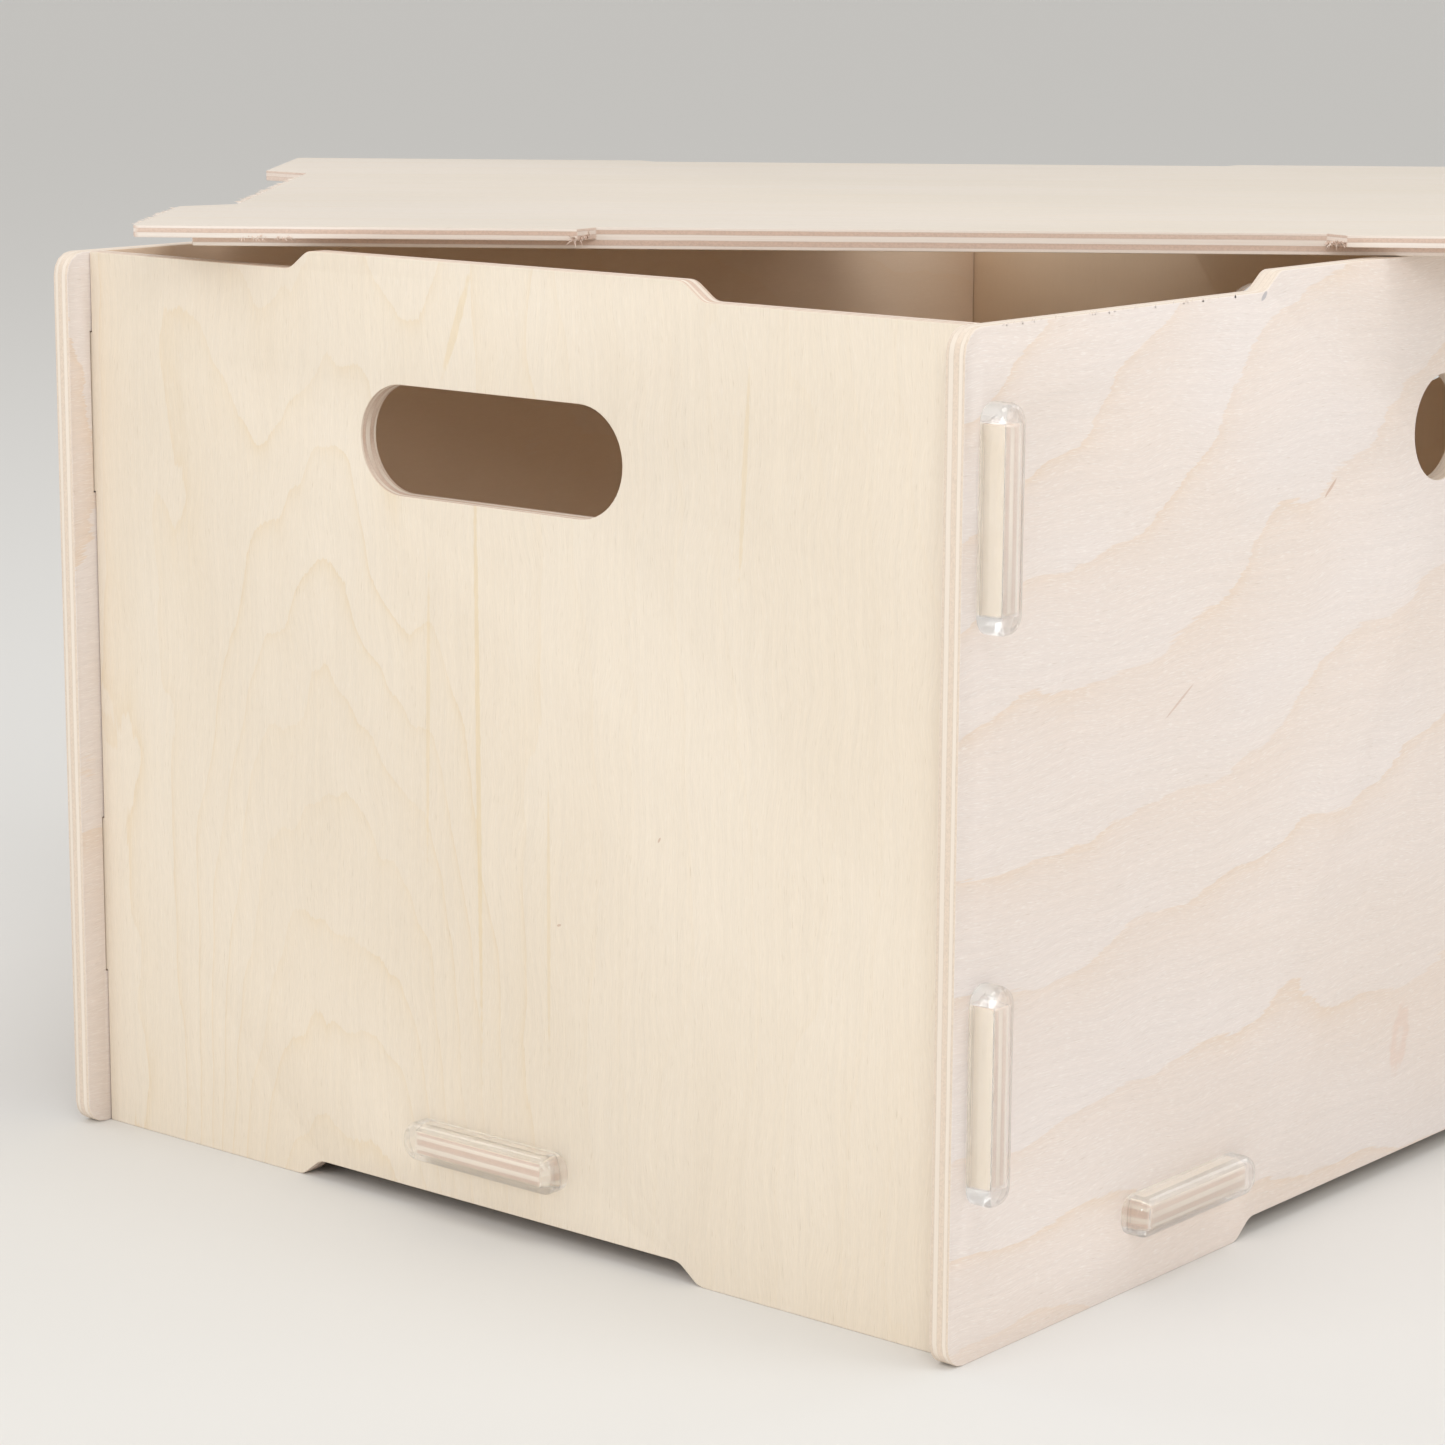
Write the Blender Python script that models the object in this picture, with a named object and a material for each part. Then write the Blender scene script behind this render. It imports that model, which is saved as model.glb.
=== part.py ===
"""Flat-pack toy box of five-ply birch plywood with a loose lid.

Tenons on the end boards and on the bottom board pass through slots in their neighbours, and a clear
plastic cap is pushed over the end of each one. The lid is notched round the raised rims and rebated
below, and it lies turned on top of the rims.

Frame: metres, +Z up. The origin is the middle of the inside floor. X runs along the length, the front
board faces -Y and the left end board faces -X.
"""

from math import cos, pi, radians, sin, tan

import bmesh
import bpy
from mathutils import Matrix, Vector
from mathutils.geometry import delaunay_2d_cdt

# Driving dimensions of the box
LENGTH = 0.490
WIDTH = 0.350
HEIGHT = 0.280  # of the corners, where the rim is low
PLY = 0.0065
END_INSET = 0.009  # how far the long boards run past the end boards
GAP = 0.0003  # between pieces that touch
OUTER_CORNER = 0.007  # corner radius of the long boards

# Rim raised in the middle, and the arch below it that fits over the rim of a box underneath
RIM_RISE = 0.0055
ARCH_RISE = 0.0058
STEP_RUN = 0.0075
STEP_RADIUS = 0.006
LONG_CORNER = 0.1425  # level stretch at each end of a long board
END_CORNER = 0.095  # the same on an end board, from the box's corner

# Hand holes
HOLE_HEIGHT = 0.0325  # also the round hole's diameter
HOLE_LENGTH = 0.102
HOLE_LEVEL = 0.2325  # hole centre above the ground

# Tenons and the slots that they pass through
TENON_LENGTH = 0.050
TENON_PROJECTION = 0.006
TENON_CORNER = 0.001
WALL_TENON_LEVELS = {"lower": 0.075, "upper": 0.230}
FLOOR_LEVEL = 0.023  # middle of the bottom board's thickness
FLOOR_TENON_INSET = 0.1115  # from the box's corner, along the long boards

# Clear caps
CAP_LENGTH = 0.061
CAP_WIDTH = 0.012
CAP_TOP = 0.0078  # above the board
CAP_CORNER = 0.0045
CAP_ROUNDING = 0.0018
CAVITY_CORNER = 0.0006

# Lid
LIP = 0.0036  # thickness left above the rebate
LID_CLEARANCE = 0.001
LID_LONG_NOTCH = (0.1320, 0.1370)  # distance from the corner, at the edge and at the notch's floor
LID_END_NOTCH = (0.0810, 0.0935)
LID_CORNER = 0.002
LID_SHIFT = (0.024, 0.030)
LID_TURN = radians(-52.3)

# Segments to each rounded corner
FINE = 12
COARSE = 4
SLIGHT = 2

MERGE = 1e-6  # points nearer than this are one point
INSIDE = 1  # tells delaunay_2d_cdt to keep what lies inside the outlines

GROUND = -(FLOOR_LEVEL + PLY / 2)
HALF_LENGTH = LENGTH / 2
HALF_WIDTH = WIDTH / 2
END_FACE = HALF_LENGTH - END_INSET  # outer face of an end board
SLOT_LENGTH = TENON_LENGTH + 2 * GAP
SLOT_WIDTH = PLY + 2 * GAP
TENON_REACH = PLY + TENON_PROJECTION  # past the inner face of the board it goes through

BIRCH_FRONT = (0.80, 0.66, 0.57)
BIRCH_END = (0.82, 0.69, 0.54)
BIRCH_LID = (0.80, 0.70, 0.61)
CLEAR_PLASTIC = (0.88, 0.90, 0.90)


def clear_scene():
    for obj in list(bpy.data.objects):
        bpy.data.objects.remove(obj)


def make_material(name, colour, roughness, alpha=1.0):
    material = bpy.data.materials.new(name)
    material.use_nodes = True
    shader = material.node_tree.nodes["Principled BSDF"]
    shader.inputs["Base Color"].default_value = (*colour, 1.0)
    shader.inputs["Roughness"].default_value = roughness
    shader.inputs["Metallic"].default_value = 0.0
    shader.inputs["Alpha"].default_value = alpha
    return material


def rounded(corners):
    """The outline through (x, y, radius, points) corners, each one rounded by an arc."""
    outline = []
    for index, (x, y, radius, count) in enumerate(corners):
        corner = Vector((x, y))
        if radius == 0:
            outline.append(corner)
            continue
        back = (Vector(corners[index - 1][:2]) - corner).normalized()
        ahead = (Vector(corners[(index + 1) % len(corners)][:2]) - corner).normalized()
        half_angle = back.angle(ahead) / 2
        centre = corner + (back + ahead).normalized() * radius / sin(half_angle)
        start = corner + back * radius / tan(half_angle) - centre
        sweep = start.angle_signed(corner + ahead * radius / tan(half_angle) - centre)
        for step in range(count + 1):
            turned = start.copy()
            turned.rotate(Matrix.Rotation(-sweep * step / count, 2))
            outline.append(centre + turned)
    return [point for index, point in enumerate(outline) if (point - outline[index - 1]).length > MERGE]


def rectangle(length, height, radius=0.0, count=FINE, middle=(0.0, 0.0)):
    x, y = middle
    signs = ((-1, -1), (1, -1), (1, 1), (-1, 1))
    return rounded([(x + sx * length / 2, y + sy * height / 2, radius, count) for sx, sy in signs])


def tenon(base, direction, along):
    """The four corners of a tenon, standing from base along direction, its width along along."""
    half = Vector(along) * TENON_LENGTH / 2
    reach = Vector(direction) * (TENON_REACH + GAP)
    base = Vector(base)
    return [
        (*(base - half), 0, 0),
        (*(base - half + reach), TENON_CORNER, SLIGHT),
        (*(base + half + reach), TENON_CORNER, SLIGHT),
        (*(base + half), 0, 0),
    ]


def arch(corner):
    """The arch under a wall, from left to right. corner is where the foot ends, from the middle."""
    top = corner - STEP_RUN
    return [
        (-corner, 0, STEP_RADIUS, COARSE),
        (-top, ARCH_RISE, STEP_RADIUS, COARSE),
        (top, ARCH_RISE, STEP_RADIUS, COARSE),
        (corner, 0, STEP_RADIUS, COARSE),
    ]


def raised_rim(corner):
    """The raised middle of a wall's rim, from right to left."""
    top = corner - STEP_RUN
    return [
        (corner, HEIGHT, STEP_RADIUS, COARSE),
        (top, HEIGHT + RIM_RISE, STEP_RADIUS, COARSE),
        (-top, HEIGHT + RIM_RISE, STEP_RADIUS, COARSE),
        (-corner, HEIGHT, STEP_RADIUS, COARSE),
    ]


def long_board_outline():
    corner = HALF_LENGTH - LONG_CORNER
    return rounded(
        [
            (-HALF_LENGTH, 0, OUTER_CORNER, COARSE),
            *arch(corner),
            (HALF_LENGTH, 0, OUTER_CORNER, COARSE),
            (HALF_LENGTH, HEIGHT, OUTER_CORNER, COARSE),
            *raised_rim(corner),
            (-HALF_LENGTH, HEIGHT, OUTER_CORNER, COARSE),
        ]
    )


def long_board_holes():
    holes = [rectangle(HOLE_HEIGHT, HOLE_HEIGHT, HOLE_HEIGHT / 2, middle=(0, HOLE_LEVEL))]
    for side in (-1, 1):
        end_board = side * (END_FACE - PLY / 2)
        for level in WALL_TENON_LEVELS.values():
            holes.append(rectangle(SLOT_WIDTH, SLOT_LENGTH, middle=(end_board, level)))
        floor_tenon = side * (HALF_LENGTH - FLOOR_TENON_INSET)
        holes.append(rectangle(SLOT_LENGTH, SLOT_WIDTH, middle=(floor_tenon, FLOOR_LEVEL)))
    return holes


def end_board_outline():
    half = HALF_WIDTH - PLY - GAP
    corner = HALF_WIDTH - END_CORNER
    levels = list(WALL_TENON_LEVELS.values())
    right, left = [], []
    for level in levels:
        right += tenon((half, level), (1, 0), (0, 1))
    for level in reversed(levels):
        left += tenon((-half, level), (-1, 0), (0, -1))
    return rounded(
        [
            (-half, 0, 0, 0),
            *arch(corner),
            (half, 0, 0, 0),
            *right,
            (half, HEIGHT, 0, 0),
            *raised_rim(corner),
            (-half, HEIGHT, 0, 0),
            *left,
        ]
    )


def end_board_holes():
    hand = rectangle(HOLE_LENGTH, HOLE_HEIGHT, HOLE_HEIGHT / 2, middle=(0, HOLE_LEVEL))
    slot = rectangle(SLOT_LENGTH, SLOT_WIDTH, middle=(0, FLOOR_LEVEL))
    return [hand, slot]


def floor_board_outline():
    half_x = END_FACE - PLY - GAP
    half_y = HALF_WIDTH - PLY - GAP
    tenon_x = HALF_LENGTH - FLOOR_TENON_INSET
    return rounded(
        [
            (-half_x, -half_y, 0, 0),
            *tenon((-tenon_x, -half_y), (0, -1), (1, 0)),
            *tenon((tenon_x, -half_y), (0, -1), (1, 0)),
            (half_x, -half_y, 0, 0),
            *tenon((half_x, 0), (1, 0), (0, 1)),
            (half_x, half_y, 0, 0),
            *tenon((tenon_x, half_y), (0, 1), (-1, 0)),
            *tenon((-tenon_x, half_y), (0, 1), (-1, 0)),
            (-half_x, half_y, 0, 0),
            *tenon((-half_x, 0), (-1, 0), (0, -1)),
        ]
    )


def add_object(name, bm, material, parent, matrix):
    """A mesh object with outward faces. Its round stretches are smooth, its edges sharp."""
    bmesh.ops.recalc_face_normals(bm, faces=bm.faces)
    mesh = bpy.data.meshes.new(name)
    bm.to_mesh(mesh)
    bm.free()
    mesh.shade_smooth()
    mesh.set_sharp_from_angle(angle=radians(30))
    mesh.materials.append(material)
    obj = bpy.data.objects.new(name, mesh)
    bpy.context.scene.collection.objects.link(obj)
    obj.parent = parent
    obj.matrix_local = matrix
    return obj


def add_board(name, outline, holes, material, parent, matrix):
    """A board of one ply thickness, centred on the outline's plane."""
    points, loops = [], []
    for loop in [outline, *holes]:
        loops.append(list(range(len(points), len(points) + len(loop))))
        points += loop
    spots, _, triangles, _, _, sources = delaunay_2d_cdt(points, [], loops, INSIDE, MERGE)
    bm = bmesh.new()
    verts = [bm.verts.new((x, y, -PLY / 2)) for x, y in spots]
    for triangle, source in zip(triangles, sources):
        if source == [0]:  # inside the outline and no hole
            bm.faces.new([verts[index] for index in triangle])
    extruded = bmesh.ops.extrude_face_region(bm, geom=bm.faces[:])
    moved = [item for item in extruded["geom"] if isinstance(item, bmesh.types.BMVert)]
    bmesh.ops.translate(bm, verts=moved, vec=(0, 0, PLY))
    return add_object(name, bm, material, parent, matrix)


def bridge(bm, lower, upper):
    """Faces between two loops of the same number of points."""
    for index in range(len(lower)):
        bm.faces.new((lower[index - 1], lower[index], upper[index], upper[index - 1]))


def cap_ring(length, width, radius, height):
    return [Vector((x, y, height)) for x, y in rectangle(length, width, radius, COARSE)]


def add_cap(name, material, parent, matrix):
    """A clear cap: its long side along X, its open mouth at Z = GAP, a cavity for the tenon inside."""
    cavity = (TENON_LENGTH + 2 * GAP, PLY + 2 * GAP, CAVITY_CORNER)
    rings = [
        cap_ring(*cavity, TENON_PROJECTION + GAP),
        cap_ring(*cavity, GAP),
    ]
    rings.append(cap_ring(CAP_LENGTH, CAP_WIDTH, CAP_CORNER, GAP))
    for step in range(COARSE):
        angle = pi / 2 * step / (COARSE - 1)
        inwards = CAP_ROUNDING * (1 - cos(angle))
        level = CAP_TOP - CAP_ROUNDING * (1 - sin(angle))
        size = (CAP_LENGTH - 2 * inwards, CAP_WIDTH - 2 * inwards, CAP_CORNER - inwards)
        rings.append(cap_ring(*size, level))
    bm = bmesh.new()
    loops = [[bm.verts.new(point) for point in ring] for ring in rings]
    for lower, upper in zip(loops, loops[1:]):
        bridge(bm, lower, upper)
    bm.faces.new(loops[0])
    bm.faces.new(loops[-1])
    return add_object(name, bm, material, parent, matrix)


def lid_core():
    """Half the size of the lid's full-thickness middle, which drops in between the walls."""
    return END_FACE - PLY - LID_CLEARANCE, HALF_WIDTH - PLY - LID_CLEARANCE


def lid_corner(sign_x, sign_y):
    """One corner of the lid's outline, from the notch in its long side to the notch in its end."""
    outer_long, inner_long = LID_LONG_NOTCH
    outer_end, inner_end = LID_END_NOTCH
    core_x, core_y = lid_core()
    corner = [
        (HALF_LENGTH - inner_long, core_y, 0, 0),
        (HALF_LENGTH - outer_long, HALF_WIDTH, 0, 0),
        (HALF_LENGTH, HALF_WIDTH, LID_CORNER, COARSE),
        (HALF_LENGTH, HALF_WIDTH - outer_end, 0, 0),
        (core_x, HALF_WIDTH - inner_end, 0, 0),
    ]
    return [(sign_x * x, sign_y * y) for x, y in rounded(corner)]


def add_lid(name, material, parent, matrix):
    """The lid, its underside at Z = 0. Its corners are only as thick as the lip."""
    bm = bmesh.new()
    core_x, core_y = lid_core()
    underside = PLY - LIP
    outline, core = [], []
    for sign_x, sign_y in ((-1, -1), (1, -1), (1, 1), (-1, 1)):
        lip = [bm.verts.new((x, y, underside)) for x, y in lid_corner(sign_x, sign_y)]
        bend = bm.verts.new((sign_x * core_x, sign_y * core_y, underside))
        bm.faces.new([*lip, bend])
        if sign_x == sign_y:
            lip.reverse()
        outline += lip
        core += [lip[0], bend, lip[-1]]
    for loop, drop in ((outline, LIP), (core, -underside)):
        moved = [bm.verts.new(vert.co + Vector((0, 0, drop))) for vert in loop]
        bridge(bm, loop, moved)
        bm.faces.new(moved)
    return add_object(name, bm, material, parent, matrix)


def standing(normal, origin):
    """Places an upright board or a level cap: local X along it, local Z out along normal."""
    outward = Vector(normal)
    along = Vector((0, 0, 1)).cross(outward)
    turn = Matrix((along, (0, 0, 1), outward)).transposed().to_4x4()
    return Matrix.Translation(origin) @ turn


def add_walls(parent, front_material, end_material):
    middle_y = HALF_WIDTH - PLY / 2
    middle_x = END_FACE - PLY / 2
    for name, side in (("front_panel", -1), ("back_panel", 1)):
        place = standing((0, side, 0), (0, side * middle_y, GROUND))
        add_board(name, long_board_outline(), long_board_holes(), front_material, parent, place)
    for name, side in (("left_end_panel", -1), ("right_end_panel", 1)):
        place = standing((side, 0, 0), (side * middle_x, 0, GROUND))
        add_board(name, end_board_outline(), end_board_holes(), end_material, parent, place)


def add_caps(parent, material):
    upright = Matrix.Rotation(pi / 2, 4, "Z")
    end_board = END_FACE - PLY / 2
    floor_tenon = HALF_LENGTH - FLOOR_TENON_INSET
    floor_z = GROUND + FLOOR_LEVEL
    for wall, side in (("front", -1), ("back", 1)):
        face = side * HALF_WIDTH
        for hand, sign in (("left", -1), ("right", 1)):
            for height, level in WALL_TENON_LEVELS.items():
                spot = (sign * end_board, face, GROUND + level)
                name = f"cap_{wall}_{hand}_{height}"
                add_cap(name, material, parent, standing((0, side, 0), spot) @ upright)
            spot = (sign * floor_tenon, face, floor_z)
            name = f"cap_{wall}_{hand}_floor"
            add_cap(name, material, parent, standing((0, side, 0), spot))
    for wall, side in (("left", -1), ("right", 1)):
        place = standing((side, 0, 0), (side * END_FACE, 0, floor_z))
        add_cap(f"cap_{wall}_end_floor", material, parent, place)


def add_empty(name, location, turn=0.0):
    empty = bpy.data.objects.new(name, None)
    bpy.context.scene.collection.objects.link(empty)
    empty.matrix_world = Matrix.Translation(location) @ Matrix.Rotation(turn, 4, "Z")
    return empty


def main():
    clear_scene()
    front_birch = make_material("birch_long_boards", BIRCH_FRONT, 0.55)
    end_birch = make_material("birch_end_boards", BIRCH_END, 0.55)
    lid_birch = make_material("birch_lid", BIRCH_LID, 0.55)
    clear_plastic = make_material("clear_plastic", CLEAR_PLASTIC, 0.06, alpha=0.35)

    box = add_empty("box", (0, 0, 0))
    add_walls(box, front_birch, end_birch)
    floor_place = Matrix.Translation((0, 0, -PLY / 2))
    add_board("bottom_board", floor_board_outline(), [], end_birch, box, floor_place)
    add_caps(box, clear_plastic)

    rim_top = GROUND + HEIGHT + RIM_RISE + GAP
    lid_seat = add_empty("lid_lift", (*LID_SHIFT, rim_top), LID_TURN)
    add_lid("lid", lid_birch, lid_seat, Matrix.Identity(4))


main()
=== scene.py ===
"""Looks for the flat-pack toy box: birch plywood boards, clear caps over the tenons and a loose lid.

Each board is made again from its solid, in a frame of its own whose Z points out of the board. Its plies,
grain and growth lines are drawn in that frame.
"""

from math import atan2, cos, pi, radians, sin

import bmesh
import bpy
import numpy as np
from mathutils import Matrix, Vector


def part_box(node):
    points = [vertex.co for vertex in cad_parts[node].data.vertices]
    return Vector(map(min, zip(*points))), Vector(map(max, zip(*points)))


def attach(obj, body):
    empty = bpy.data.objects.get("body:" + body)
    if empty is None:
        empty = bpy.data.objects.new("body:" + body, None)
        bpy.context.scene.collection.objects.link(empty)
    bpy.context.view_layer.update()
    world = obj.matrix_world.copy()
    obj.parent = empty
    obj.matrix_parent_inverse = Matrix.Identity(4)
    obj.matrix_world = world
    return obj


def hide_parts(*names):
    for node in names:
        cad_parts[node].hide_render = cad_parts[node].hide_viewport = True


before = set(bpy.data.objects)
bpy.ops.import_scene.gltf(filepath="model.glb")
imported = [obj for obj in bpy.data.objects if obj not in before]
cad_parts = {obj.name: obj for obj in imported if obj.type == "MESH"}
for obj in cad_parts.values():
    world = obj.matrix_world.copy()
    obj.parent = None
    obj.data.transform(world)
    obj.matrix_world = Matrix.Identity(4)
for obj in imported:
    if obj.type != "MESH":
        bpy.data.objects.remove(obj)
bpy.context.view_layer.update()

UP = Vector((0, 0, 1))

# Camera
CAMERA_PLACE = Vector((-1.06340, -0.77346, 0.35396))
CAMERA_YAW = radians(39.6485)  # from +X towards +Y
CAMERA_PITCH = radians(-11.3268)
CAMERA_ROLL = radians(0.3349)
CAMERA_LENS = 99.12

# Lamps: name, place, side of the square, power
LIT_POINT = Vector((0, 0, 0.1))
LAMPS = (
    ("key", (-1.3, -1.3, 1.2), 0.45, 4.5),
    ("overhead", (-0.2, -0.6, 2.2), 1.0, 8),
    ("left", (-2.2, 0.4, 1.0), 1.6, 11.5),
    ("right", (0.9, -2.3, 1.1), 1.6, 11.3),
    ("back_left", (-0.5, 1.8, 2.1), 1.0, 4),
    ("back_right", (2.0, -0.5, 1.6), 1.0, 4),
)
WORLD_STRENGTH = 0.76
FLOOR_RADIUS = 40

# Boards
MERGE_DISTANCE = 1e-6
FLAT_ANGLE = radians(0.5)  # faces that meet at less are one face
SHARP_ANGLE = radians(40)
EDGE_ROUNDING = 0.0003
GRAIN_UPRIGHT = -pi / 2
GRAIN_SWAY = 0.010
PLY_BOUNDARIES = (0.17, 0.41, 0.68, 0.87)  # from the inner face, as shares of the thickness
PLY_BLUR = 0.018
PLY_WOBBLE = 0.03
INSIDE_SHADE_FADE = (-0.45, -0.40)  # from the inner face's painted shade to the edge's tone, as shares of the thickness
EDGE_FADE = (0.455, 0.495)  # from the edge's tone to either face's
WHOLE_BOARD = 1.0  # further than any board reaches from its middle

# Marks on a face
MARK_BLUR = 0.35  # as a share of the mark's half size, like the next
MARK_RAGGED = 0.7
RING_MIDDLE = 0.35  # what is left of the strength in the middle of a ring

# Splinters
FIBRE_WIDTH = 0.00036
FIBRE_WIDTHS = (0.6, 1.6)  # smallest and largest, as shares of the width
FIBRE_LENGTHS = (0.35, 1.0)
FIBRE_ROOT = 0.0004
FIBRE_SPREAD = 0.45

# Caps
CAP_ROUNDING = 0.0032
CAP_CORNER = 0.0054
CAP_SEGMENTS = 8
CAVITY_CORNER = 0.0006
CAVITY_DEPTH = 0.0061
TENON_LENGTH = 0.050
TENON_GAP = 0.0003


def link(obj):
    bpy.context.scene.collection.objects.link(obj)
    return obj


# ---------------------------------------------------------------- node materials


class Nodes:
    """Writes a material's node tree. A value can be a number, a colour or another node's output."""

    def __init__(self, name):
        self.material = bpy.data.materials.new(name)
        self.material.use_nodes = True
        self.tree = self.material.node_tree
        self.shader = self.tree.nodes["Principled BSDF"]

    def add(self, kind, values=(), **settings):
        node = self.tree.nodes.new(kind)
        for name, setting in settings.items():
            setattr(node, name, setting)
        for key, value in dict(values).items():
            self.put(node.inputs[key], value)
        return node

    def put(self, socket, value):
        if isinstance(value, bpy.types.NodeSocket):
            self.tree.links.new(value, socket)
        else:
            socket.default_value = value

    def math(self, operation, a, b=0.0, c=0.0):
        node = self.add("ShaderNodeMath", {0: a, 1: b, 2: c}, operation=operation)
        return node.outputs[0]

    def span(self, value, low, high, to_low=0.0, to_high=1.0):
        """The value carried smoothly from low..high to to_low..to_high."""
        values = {"Value": value, "From Min": low, "From Max": high, "To Min": to_low, "To Max": to_high}
        return self.add("ShaderNodeMapRange", values, interpolation_type="SMOOTHSTEP").outputs[0]

    def noise(self, vector, detail=2.0, roughness=0.5):
        values = {"Vector": vector, "Scale": 1.0, "Detail": detail, "Roughness": roughness}
        return self.add("ShaderNodeTexNoise", values).outputs[0]

    def stretched(self, vector, scale, shift=(0, 0, 0)):
        values = {"Vector": vector, "Scale": scale, "Location": shift}
        return self.add("ShaderNodeMapping", values).outputs[0]

    def mix_value(self, factor, a, b):
        """a where factor is 0, b where it is 1."""
        return self.math("ADD", a, self.math("MULTIPLY", factor, self.math("SUBTRACT", b, a)))

    def mix(self, factor, a, b, blend="MIX"):
        node = self.add("ShaderNodeMix", {"Factor": factor}, data_type="RGBA", blend_type=blend)
        colours = [socket for socket in node.inputs if socket.type == "RGBA"]
        self.put(colours[0], a)
        self.put(colours[1], b)
        return next(socket for socket in node.outputs if socket.type == "RGBA")

    def turned(self, vector, angle):
        """The vector turned about Z."""
        values = {"Vector": vector, "Angle": angle}
        return self.add("ShaderNodeVectorRotate", values, rotation_type="Z_AXIS").outputs[0]

    def ramp(self, value, stops):
        node = self.add("ShaderNodeValToRGB", {0: value})
        elements = node.color_ramp.elements
        while len(elements) < len(stops):
            elements.new(1.0)
        for element, (position, colour) in zip(elements, stops):
            element.position = position
            element.color = colour
        return node.outputs[0]


def colour(red, green, blue):
    return (red, green, blue, 1.0)


def scaled(tint, factor):
    return colour(*(channel * factor for channel in tint[:3]))


def growth_lines(nodes, grain, field, strength):
    """(line, band) along a height field's contours: a crisp late-wood line, and the tone fading off it."""
    ragged = nodes.noise(nodes.stretched(grain, (35, 900, 1)), detail=3, roughness=0.6)
    bumpy = nodes.noise(nodes.stretched(grain, (45, 120, 1)))
    jitter = nodes.math("MULTIPLY_ADD", ragged, 0.10, nodes.math("MULTIPLY", bumpy, 0.16))
    ring = nodes.math("FRACT", nodes.math("ADD", field, jitter))
    crisp = nodes.span(ring, 0.985, 1.0, 1.0, 0.0)
    fades = nodes.span(nodes.noise(nodes.stretched(grain, (11, 24, 1), (5, 2, 0))), 0.38, 0.62, 0.2, 1.0)
    line = nodes.math("MULTIPLY", nodes.math("POWER", ring, 14.0), nodes.math("MULTIPLY", crisp, fades))
    band = nodes.math("MULTIPLY", nodes.math("POWER", ring, 1.6), crisp)
    return nodes.math("MULTIPLY", line, strength), nodes.math("MULTIPLY", band, strength)


def cut_edge(nodes, grain, grain_turn, depth, thickness, veneer):
    """The five plies on a cut edge. A ply shows end grain, darker, where its fibres meet the edge."""
    wobble = nodes.noise(nodes.stretched(grain, (60, 60, 10)), detail=3)
    level = nodes.math("ADD", nodes.math("DIVIDE", depth, thickness), 0.5 - PLY_WOBBLE / 2)
    level = nodes.math("MULTIPLY_ADD", wobble, PLY_WOBBLE, level)
    ply, next_ply = colour(0, 0, 0), colour(1, 1, 1)
    stops = []
    for boundary in PLY_BOUNDARIES:
        stops += [(boundary - PLY_BLUR, ply), (boundary + PLY_BLUR, next_ply)]
        ply, next_ply = next_ply, ply
    crossing = nodes.ramp(level, stops)
    parallel = nodes.math("SUBTRACT", 1.0, crossing)
    glue = nodes.math("MULTIPLY", nodes.math("MULTIPLY", crossing, parallel), 4.0)
    normal = nodes.turned(nodes.add("ShaderNodeTexCoord").outputs["Normal"], grain_turn)
    facing = nodes.math("ABSOLUTE", nodes.add("ShaderNodeSeparateXYZ", {0: normal}).outputs[0])
    end_grain = nodes.mix_value(facing, crossing, parallel)

    speckle = nodes.noise(nodes.stretched(grain, (1300, 1300, 1900)), roughness=0.7)
    speckle = nodes.math("MULTIPLY", nodes.span(speckle, 0.35, 0.7, 0.0, 0.45), end_grain)
    threads = nodes.noise(nodes.stretched(grain, (40, 40, 4200)), detail=3, roughness=0.7)
    tone = nodes.mix(end_grain, veneer["edge"], veneer["end_grain"])
    tone = nodes.mix(speckle, tone, scaled(veneer["end_grain"], 0.74))
    tone = nodes.mix(nodes.span(threads, 0.35, 0.75, 0.0, 0.25), tone, veneer["end_grain"])
    return nodes.mix(nodes.math("MULTIPLY", glue, 0.40), tone, scaled(veneer["end_grain"], 0.72))


def spots(nodes, tone, marks):
    """Small marks on a face: each (x, y, half length, half width, turn, ring, strength, colour).

    A mark with a ring is fainter in its middle, inside a rim of that width.
    """
    board = nodes.add("ShaderNodeTexCoord").outputs["Object"]
    rough = nodes.noise(nodes.stretched(board, (300, 300, 1)))
    for x, y, length, width, turn, ring, strength, tint in marks:
        values = {"Vector": board, "Center": (x, y, 0), "Angle": -turn}
        placed = nodes.add("ShaderNodeVectorRotate", values, rotation_type="Z_AXIS").outputs[0]
        square = nodes.stretched(placed, (1 / length, 1 / width, 0), (-x / length, -y / width, 0))
        reach = nodes.add("ShaderNodeVectorMath", {0: square}, operation="LENGTH").outputs["Value"]
        reach = nodes.math("ADD", reach, nodes.math("MULTIPLY", rough, MARK_RAGGED))
        cover = nodes.span(reach, 1.0, 1.0 + MARK_BLUR, strength, 0.0)
        if ring:
            rim = nodes.span(reach, 1.0 - ring, 1.0 + MARK_BLUR - ring, RING_MIDDLE, 1.0)
            cover = nodes.math("MULTIPLY", cover, rim)
        tone = nodes.mix(cover, tone, tint)
    return tone


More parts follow.
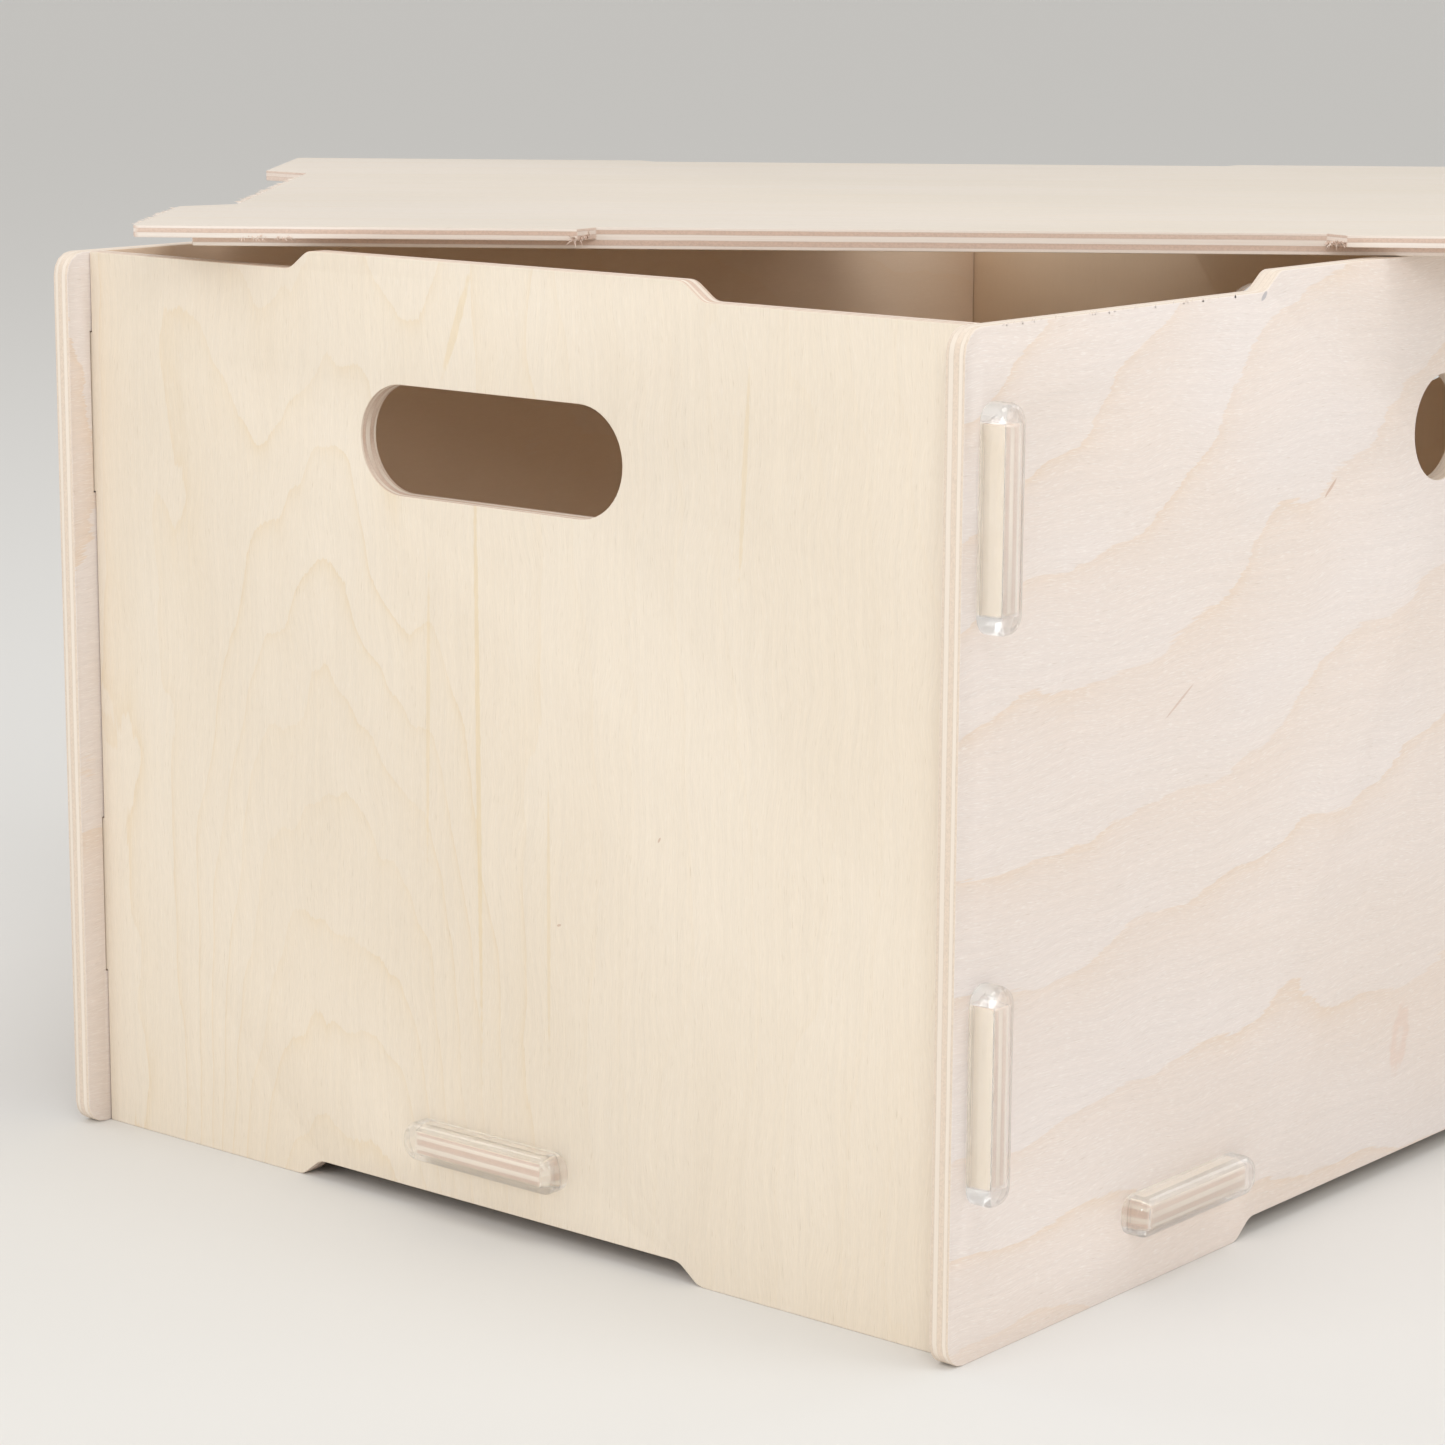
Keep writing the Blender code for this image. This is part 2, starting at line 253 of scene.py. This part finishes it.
def wood_face(nodes, grain, figured, veneer, marks):
    """(colour, fibres) of a board's face. figured is its growth lines' (line, band)."""
    line, band = figured
    patches = nodes.noise(nodes.stretched(grain, (6, 13, 10)), detail=3)
    streaks = nodes.noise(nodes.stretched(grain, (14, 560, 9)), detail=4, roughness=0.6)
    fibres = nodes.noise(nodes.stretched(grain, (210, 2300, 60)), detail=3, roughness=0.75)
    flecks = nodes.noise(nodes.stretched(grain, (320, 3000, 60), (3, 1, 0)))
    pores = nodes.noise(nodes.stretched(grain, (210, 3600, 60), (8, 4, 0)))

    tone = nodes.mix(nodes.span(patches, 0.35, 0.65), veneer["face"], veneer["cloud"])
    tone = nodes.mix(nodes.math("MULTIPLY", band, veneer["band"]), tone, veneer["late"])
    tone = nodes.mix(nodes.math("MULTIPLY", line, 0.60), tone, veneer["line"])
    tone = nodes.mix(nodes.span(flecks, 0.52, 0.74, 0.0, veneer["fleck"]), tone, colour(1.0, 0.97, 0.93))
    tone = nodes.mix(nodes.span(pores, 0.62, 0.80, 0.0, 0.35), tone, scaled(veneer["line"], 0.65))
    tone = spots(nodes, tone, marks)

    contrast = veneer["fibre"]
    broad = nodes.span(streaks, 0.25, 0.75, 1 - contrast, 1 + contrast * 0.5)
    fine = nodes.span(fibres, 0.25, 0.75, -contrast, contrast)
    shade = nodes.math("ADD", broad, fine)
    grey = nodes.add("ShaderNodeCombineColor", {0: shade, 1: shade, 2: shade}).outputs[0]
    return nodes.mix(1.0, tone, grey, "MULTIPLY"), fibres


def birch(name, veneer, grain_turn, thickness, inner_reach, figure, seed, marks):
    """Birch plywood. veneer holds its colours, and figure gives the height field of its growth lines.

    grain_turn turns the board onto its grain, which then runs along X. seed shifts the grain. The inner
    face (at -Z) gets a warm painted shade, for the shade and warm bounce light inside the box, up to
    inner_reach from its middle.
    """
    nodes = Nodes(name)
    board = nodes.add("ShaderNodeTexCoord").outputs["Object"]
    grain = nodes.turned(board, grain_turn)
    along, across, depth = nodes.add("ShaderNodeSeparateXYZ", {0: grain}).outputs
    shifted = nodes.stretched(grain, (1, 1, 1), (seed, 0, 0))
    sway = nodes.noise(nodes.stretched(grain, (22, 30, 1), (seed, 0, 0)), detail=1)
    sway = nodes.math("MULTIPLY_ADD", sway, GRAIN_SWAY, 0.7 * seed)
    sway = nodes.add("ShaderNodeCombineXYZ", {1: sway}).outputs[0]
    grain = nodes.add("ShaderNodeVectorMath", {0: shifted, 1: sway}, operation="ADD").outputs[0]

    strength = veneer["figure"]
    if "plain" in veneer:
        strength = nodes.span(across, *veneer["figured"], veneer["plain"], strength)
    figured = growth_lines(nodes, grain, figure(nodes, grain, along, across), strength)
    tone, fibres = wood_face(nodes, grain, figured, veneer, marks)

    # Painted shade: the inner face is mixed towards the warm shaded colour, up to inner_reach along the
    # board, standing in for the shade and warm bounce light inside the box.
    inner, outer = (share * thickness for share in INSIDE_SHADE_FADE)
    inside = nodes.span(depth, inner, outer, veneer["inside"], 0.0)
    painted_shade_span = nodes.span(nodes.math("ABSOLUTE", along), inner_reach - thickness / 2, inner_reach, 1.0, 0.0)
    tone = nodes.mix(nodes.math("MULTIPLY", inside, painted_shade_span), tone, veneer["shaded"])
    edge = cut_edge(nodes, grain, grain_turn, depth, thickness, veneer)
    inner, outer = (share * thickness for share in EDGE_FADE)
    on_edge = nodes.span(nodes.math("ABSOLUTE", depth), inner, outer, 1.0, 0.0)
    tone = nodes.mix(on_edge, tone, edge)

    nodes.put(nodes.shader.inputs["Base Color"], tone)
    nodes.put(nodes.shader.inputs["Roughness"], nodes.span(fibres, 0.3, 0.7, 0.52, 0.68))
    nodes.shader.inputs["Specular IOR Level"].default_value = 0.3
    bump = nodes.add("ShaderNodeBump", {"Height": fibres, "Strength": 0.30, "Distance": 0.00012})
    nodes.put(nodes.shader.inputs["Normal"], bump.outputs[0])
    return nodes.material


def arches(apex, spread):
    """Contours nested in pointed arches round apex, turning into lines along the grain beside them."""

    def field(nodes, grain, along, across):
        off = nodes.math("DIVIDE", nodes.math("SUBTRACT", across, apex[1]), spread)
        bend = nodes.math("SQRT", nodes.math("MULTIPLY_ADD", off, off, 0.30))
        near = nodes.span(nodes.math("ABSOLUTE", off), 1.0, 4.0, 1.0, 0.0)
        rise = nodes.math("DIVIDE", nodes.math("SUBTRACT", along, apex[0]), spread * 1.7)
        arch = nodes.math("MULTIPLY_ADD", rise, near, bend)
        drift = nodes.noise(nodes.stretched(grain, (5.5, 17, 1)), detail=3)
        return nodes.math("ADD", arch, nodes.math("MULTIPLY", drift, 4.2))

    return field


def waves(spacing, lean, lobes, scale):
    """Broad, lobed contours, as on a veneer peeled almost along the growth rings."""

    def field(nodes, grain, along, across):
        wander = nodes.noise(nodes.stretched(grain, scale))
        tilt = nodes.math("MULTIPLY_ADD", across, lean[1], lean[0])
        rise = nodes.math("SUBTRACT", across, nodes.math("MULTIPLY", along, tilt))
        return nodes.math("ADD", nodes.math("DIVIDE", rise, spacing), nodes.math("MULTIPLY", wander, lobes))

    return field


def clear_plastic():
    """Clear, glossy plastic. It casts no shadow, so that light reaches the tenon inside."""
    nodes = Nodes("clear_cap_plastic")
    inputs = nodes.shader.inputs
    inputs["Base Color"].default_value = colour(1.0, 1.0, 1.0)
    inputs["Roughness"].default_value = 0.06
    inputs["IOR"].default_value = 1.32
    inputs["Transmission Weight"].default_value = 1.0
    inputs["Coat Weight"].default_value = 1.0
    inputs["Coat Roughness"].default_value = 0.05
    inputs["Coat IOR"].default_value = 1.75
    clear = nodes.add("ShaderNodeBsdfTransparent", {"Color": colour(1.0, 1.0, 1.0)}).outputs[0]
    is_shadow = nodes.add("ShaderNodeLightPath").outputs["Is Shadow Ray"]
    seen = nodes.add("ShaderNodeMixShader", {0: 0.25, 1: nodes.shader.outputs[0], 2: clear})
    mixed = nodes.add("ShaderNodeMixShader", {0: is_shadow, 1: seen.outputs[0], 2: clear})
    nodes.put(nodes.tree.nodes["Material Output"].inputs["Surface"], mixed.outputs[0])
    return nodes.material


def floor_material():
    nodes = Nodes("studio_floor")
    nodes.shader.inputs["Base Color"].default_value = colour(0.76, 0.75, 0.73)
    nodes.shader.inputs["Roughness"].default_value = 0.8
    nodes.shader.inputs["Specular IOR Level"].default_value = 0.2
    return nodes.material


# ---------------------------------------------------------------- boards


def board_frame(node, outward):
    """The board's own frame: Z out of it, and X along an upright board or along row X on a level one."""
    low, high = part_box(node)
    outward = Vector(outward)
    along = Vector((1, 0, 0)) if outward.z else UP.cross(outward)
    turn = Matrix((along, outward.cross(along), outward)).transposed().to_4x4()
    return Matrix.Translation((low + high) / 2) @ turn


def heading_of(node):
    """The angle of a level board's long direction from row X."""
    points = np.array([vert.co.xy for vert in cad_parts[node].data.vertices])
    points -= points.mean(0)
    x, y = np.linalg.eigh(points.T @ points)[1][:, 1]
    return atan2(y, x) if x > 0 else atan2(-y, -x)


def make_board(name, node, body, outward, material):
    place = board_frame(node, outward)
    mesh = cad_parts[node].data.copy()
    mesh.name = name
    mesh.transform(place.inverted())
    bm = bmesh.new()
    bm.from_mesh(mesh)
    bmesh.ops.remove_doubles(bm, verts=bm.verts, dist=MERGE_DISTANCE)
    bmesh.ops.dissolve_limit(bm, angle_limit=FLAT_ANGLE, verts=bm.verts, edges=bm.edges)
    bm.to_mesh(mesh)
    bm.free()
    mesh.shade_smooth()
    mesh.materials.clear()
    mesh.materials.append(material)
    board = link(bpy.data.objects.new(name, mesh))
    board.matrix_world = place
    bevel = board.modifiers.new("broken_edges", "BEVEL")
    bevel.width = EDGE_ROUNDING
    bevel.segments = 2
    bevel.limit_method = "ANGLE"
    bevel.angle_limit = SHARP_ANGLE
    bevel.harden_normals = True
    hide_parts(node)
    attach(board, body)
    return board


def torn_fibres(name, board, turn, start, end, lean, count, length, seed):
    """Splinters left by the cutter, rooted in a board between start and end.

    They are placed in the board's own frame turned about its Z, and none stands out of its face.
    """
    chance = np.random.default_rng(seed)
    face = max(vert.co.z for vert in board.data.vertices)
    start, end, lean = Vector(start), Vector(end), Vector(lean)
    bm = bmesh.new()
    for _ in range(count):
        root = start.lerp(end, chance.random())
        heading = (lean + Vector(chance.normal(0, FIBRE_SPREAD, 3))).normalized()
        side = heading.orthogonal().normalized()
        reach = length * chance.uniform(*FIBRE_LENGTHS)
        width = FIBRE_WIDTH * chance.uniform(*FIBRE_WIDTHS)
        points = [root + heading * reach]
        for corner in range(3):
            spoke = Matrix.Rotation(2 * pi * corner / 3, 3, heading) @ side
            points.append(root - heading * FIBRE_ROOT + spoke * width)
        verts = [bm.verts.new((point.x, point.y, min(point.z, face))) for point in points]
        bm.faces.new(verts[1:])
        for corner in range(3):
            bm.faces.new((verts[0], verts[1 + corner], verts[1 + (corner + 1) % 3]))
    bmesh.ops.recalc_face_normals(bm, faces=bm.faces)
    mesh = bpy.data.meshes.new(name)
    bm.to_mesh(mesh)
    bm.free()
    mesh.transform(Matrix.Rotation(turn, 4, "Z"))
    mesh.materials.append(board.data.materials[0])
    fibres = link(bpy.data.objects.new(name, mesh))
    fibres.matrix_world = board.matrix_world
    return fibres


# ---------------------------------------------------------------- caps


def cap_ring(length, width, radius, height):
    """A rounded rectangle of points at one height."""
    ring = []
    for corner, (sx, sy) in enumerate(((1, 1), (-1, 1), (-1, -1), (1, -1))):
        for step in range(CAP_SEGMENTS + 1):
            angle = pi / 2 * (corner + step / CAP_SEGMENTS)
            x = sx * (length / 2 - radius) + radius * cos(angle)
            y = sy * (width / 2 - radius) + radius * sin(angle)
            ring.append((x, y, height))
    return ring


def cap_mesh(length, width, height, tenon_length, tenon_width):
    """A clear cap, mouth down at Z = 0. Its cavity takes the tenon."""
    cavity = (tenon_length, tenon_width, CAVITY_CORNER)
    rings = [cap_ring(*cavity, CAVITY_DEPTH), cap_ring(*cavity, 0)]
    rings.append(cap_ring(length, width, CAP_CORNER, 0))
    for step in range(CAP_SEGMENTS + 1):
        angle = pi / 2 * step / CAP_SEGMENTS
        inwards = CAP_ROUNDING * (1 - cos(angle))
        level = height - CAP_ROUNDING * (1 - sin(angle))
        rings.append(cap_ring(length - 2 * inwards, width - 2 * inwards, CAP_CORNER - inwards, level))
    bm = bmesh.new()
    loops = [[bm.verts.new(point) for point in ring] for ring in rings]
    for lower, upper in zip(loops, loops[1:]):
        for index in range(len(lower)):
            bm.faces.new((lower[index - 1], lower[index], upper[index], upper[index - 1]))
    bm.faces.new(loops[0])
    bm.faces.new(loops[-1])
    bmesh.ops.recalc_face_normals(bm, faces=bm.faces)
    mesh = bpy.data.meshes.new("clear_cap")
    bm.to_mesh(mesh)
    bm.free()
    mesh.shade_smooth()
    mesh.set_sharp_from_angle(angle=SHARP_ANGLE)
    return mesh


def make_caps(material, ply):
    tenon_room = (TENON_LENGTH + 2 * TENON_GAP, ply + 2 * TENON_GAP)
    for node in [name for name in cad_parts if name.startswith("cap_")]:
        low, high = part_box(node)
        size = high - low
        middle = (low + high) / 2
        outward_axis = min((0, 1), key=lambda axis: size[axis])
        outward = Vector((0, 0, 0))
        outward[outward_axis] = 1 if middle[outward_axis] > 0 else -1
        length = max(size)
        height = size[outward_axis]
        width = sum(size) - length - height
        along = UP if size.z == length else UP.cross(outward)
        mesh = cap_mesh(length, width, height, *tenon_room)
        mesh.materials.append(material)
        cap = link(bpy.data.objects.new("clear_" + node, mesh))
        turn = Matrix((along, outward.cross(along), outward)).transposed().to_4x4()
        cap.matrix_world = Matrix.Translation(middle - outward * height / 2) @ turn
        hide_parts(node)
        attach(cap, "box")


# ---------------------------------------------------------------- studio


def make_floor(level):
    bm = bmesh.new()
    bmesh.ops.create_circle(bm, cap_ends=True, radius=FLOOR_RADIUS, segments=96)
    mesh = bpy.data.meshes.new("floor")
    bm.to_mesh(mesh)
    bm.free()
    mesh.materials.append(floor_material())
    floor = link(bpy.data.objects.new("floor", mesh))
    floor.location.z = level


def make_light(name, place, size, power):
    light = bpy.data.lights.new(name, "AREA")
    light.shape = "SQUARE"
    light.size = size
    light.energy = power
    lamp = link(bpy.data.objects.new(name, light))
    lamp.location = place
    lamp.rotation_euler = (LIT_POINT - Vector(place)).to_track_quat("-Z", "Y").to_euler()


def make_camera():
    camera = bpy.data.cameras.new("camera")
    camera.lens = CAMERA_LENS
    camera.sensor_width = 36
    camera.clip_end = 100
    rig = link(bpy.data.objects.new("camera", camera))
    rig.location = CAMERA_PLACE
    heading = Matrix.Rotation(CAMERA_YAW - pi / 2, 4, "Z") @ Matrix.Rotation(CAMERA_PITCH + pi / 2, 4, "X")
    rig.rotation_euler = (heading @ Matrix.Rotation(CAMERA_ROLL, 4, "Z")).to_euler()
    bpy.context.scene.camera = rig


def make_world():
    world = bpy.data.worlds.new("studio")
    world.use_nodes = True
    background = world.node_tree.nodes["Background"]
    background.inputs["Color"].default_value = colour(0.93, 0.92, 0.90)
    background.inputs["Strength"].default_value = WORLD_STRENGTH
    bpy.context.scene.world = world
    bpy.context.scene.view_settings.view_transform = "Standard"


# ---------------------------------------------------------------- looks of the boards

# figure is the strength of the growth lines. Where plain is given, they fade to it over the figured span.
CREAM = {
    "face": colour(0.86, 0.765, 0.64),
    "cloud": colour(0.84, 0.74, 0.61),
    "late": colour(0.84, 0.715, 0.55),
    "line": colour(0.78, 0.61, 0.38),
    # shaded is a painted shade for the inner faces, warm and darker, for the shade and warm bounce light
    # inside the box; inside is how strongly it is laid on.
    "shaded": colour(0.95, 0.72, 0.50),
    "edge": colour(0.88, 0.79, 0.68),
    "end_grain": colour(0.70, 0.52, 0.41),
    "figure": 0.75,
    "plain": 0.15,
    "figured": (-0.055, 0.005),
    "band": 0.35,
    "fibre": 0.028,
    "fleck": 0.12,
    "inside": 0.7,
}
ROSE = {
    "face": colour(0.84, 0.765, 0.725),
    "cloud": colour(0.83, 0.74, 0.68),
    "late": colour(0.83, 0.70, 0.605),
    "line": colour(0.79, 0.61, 0.44),
    # shaded is a painted shade for the inner faces, warm and darker, for the shade and warm bounce light
    # inside the box; inside is how strongly it is laid on.
    "shaded": colour(0.95, 0.72, 0.50),
    "edge": colour(0.88, 0.79, 0.69),
    "end_grain": colour(0.82, 0.69, 0.57),
    "figure": 0.72,
    "band": 0.75,
    "fibre": 0.028,
    "fleck": 0.35,
    "inside": 0.7,
}
PALE = {
    "face": colour(0.735, 0.665, 0.59),
    "cloud": colour(0.715, 0.645, 0.56),
    "late": colour(0.75, 0.66, 0.55),
    "line": colour(0.70, 0.57, 0.42),
    # shaded is a painted shade for the lid's inner face, warmer and darker, for the shade under the lid;
    # inside is how strongly it is laid on.
    "shaded": colour(0.80, 0.66, 0.52),
    "edge": colour(0.92, 0.85, 0.78),
    "end_grain": colour(0.72, 0.54, 0.44),
    "figure": 0.45,
    "band": 0.4,
    "fibre": 0.022,
    "fleck": 0.14,
    "inside": 0.5,
}
KNOT = colour(0.80, 0.60, 0.50)
SCRATCH = colour(0.55, 0.34, 0.24)
NICK = colour(0.30, 0.31, 0.36)
VEIN = colour(0.80, 0.64, 0.40)
END_MARKS = (
    (-0.0045, 0.004, 0.105, 0.0011, radians(90.5), 0.0, 0.50, VEIN),
    (-0.0245, 0.0105, 0.048, 0.0009, radians(89), 0.0, 0.38, VEIN),
    (0.023, -0.045, 0.048, 0.0008, radians(90), 0.0, 0.34, VEIN),
    (0.095, 0.0915, 0.034, 0.0010, radians(87), 0.0, 0.34, VEIN),
    (-0.012, 0.125, 0.018, 0.0016, radians(70), 0.0, 0.42, VEIN),
    (0.065, -0.0145, 0.0012, 0.0004, radians(60), 0.0, 0.60, SCRATCH),
    (0.027, -0.0455, 0.0010, 0.0004, radians(20), 0.0, 0.55, SCRATCH),
)
FRONT_MARKS = (
    (-0.011, -0.100, 0.0060, 0.0120, radians(-12), 0.5, 0.45, KNOT),
    (-0.064, 0.0775, 0.0045, 0.0007, radians(38), 0.0, 0.55, SCRATCH),
    (-0.141, 0.0255, 0.0090, 0.0005, radians(30), 0.0, 0.40, SCRATCH),
    (-0.1035, 0.1362, 0.0022, 0.0009, radians(40), 0.0, 0.55, NICK),
)

# Splinters, placed with X along the board: name, start, end, lean, how many and length
LID_SPLINTERS = (
    ("lid_end_fibres", (-0.2438, -0.1700, 0.0030), (-0.2440, -0.1000, 0.0030),
     (-1.0, 0.2, 0.2), 70, 0.0030),
    ("lid_notch_fibres", (-0.2288, -0.0750, 0.0030), (-0.2288, 0.0600, 0.0030),
     (-1.0, -0.3, 0.2), 90, 0.0034),
    ("lid_step_crumb_left", (-0.1135, -0.1758, 0.0002), (-0.1085, -0.1700, 0.0012),
     (-0.3, -1.0, -0.2), 80, 0.0034),
    ("lid_step_crumb_right", (0.1085, -0.1680, 0.0002), (0.1135, -0.1740, 0.0012),
     (0.3, -1.0, -0.3), 50, 0.0026),
    ("lid_lip_fibres", (-0.2140, -0.1755, 0.0), (-0.1960, -0.1755, 0.0),
     (0.6, -0.8, -0.5), 40, 0.0026),
)
RIM_HEIGHT = 0.1371
RIM_SPAN = (-0.232, -0.108)
RIM_SEED = 11


def make_torn_edges(lid, lid_heading, front, front_face):
    """Splinters on the lid's cut ends and steps, and along the front board's rim."""
    for seed, (name, start, end, lean, count, length) in enumerate(LID_SPLINTERS):
        fibres = torn_fibres(name, lid, lid_heading, start, end, lean, count, length, seed)
        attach(fibres, "lid")
    start, end = ((x, RIM_HEIGHT, front_face) for x in RIM_SPAN)
    fibres = torn_fibres("front_rim_fibres", front, 0.0, start, end, (0.3, 0.8, 0.2), 60, 0.0013, RIM_SEED)
    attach(fibres, "box")


def main():
    low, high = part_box("front_panel")
    ply = high.y - low.y
    box_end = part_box("right_end_panel")[1].x
    lid_heading = heading_of("lid")
    broad = waves(0.062, (0.30, 3.5), 2.0, (7.5, 8.0, 1))
    fine = waves(0.030, (0.10, 0.0), 2.5, (2.5, 9, 1))
    pointed = arches((0.012, 0.060), 0.020)
    long_kind = ("birch_long_boards", ROSE, 0.0, box_end, broad)
    end_kind = ("birch_end_boards", CREAM, GRAIN_UPRIGHT, WHOLE_BOARD, pointed)
    floor_kind = ("birch_end_boards", CREAM, 0.0, WHOLE_BOARD, fine)
    lid_kind = ("birch_lid", PALE, -lid_heading, WHOLE_BOARD, fine)
    boards = (
        ("front_board", "front_panel", (0, -1, 0), *long_kind, 4.0, FRONT_MARKS),
        ("back_board", "back_panel", (0, 1, 0), *long_kind, 7.0, ()),
        ("left_end_board", "left_end_panel", (-1, 0, 0), *end_kind, 3.0, END_MARKS),
        ("right_end_board", "right_end_panel", (1, 0, 0), *end_kind, 5.5, ()),
        ("floor_board", "bottom_board", (0, 0, 1), *floor_kind, 8.0, ()),
        ("lid_board", "lid", (0, 0, 1), *lid_kind, 9.0, ()),
    )
    made = {}
    for name, node, outward, slot, veneer, grain_turn, reach, figure, seed, marks in boards:
        material = birch("birch_" + name, veneer, grain_turn, ply, reach, figure, seed, marks)
        made[node] = make_board(name, node, "lid" if node == "lid" else "box", outward, material)
    make_torn_edges(made["lid"], lid_heading, made["front_panel"], ply / 2)
    make_caps(clear_plastic(), ply)

    make_floor(low.z)
    for lamp in LAMPS:
        make_light(*lamp)
    make_camera()
    make_world()


main()
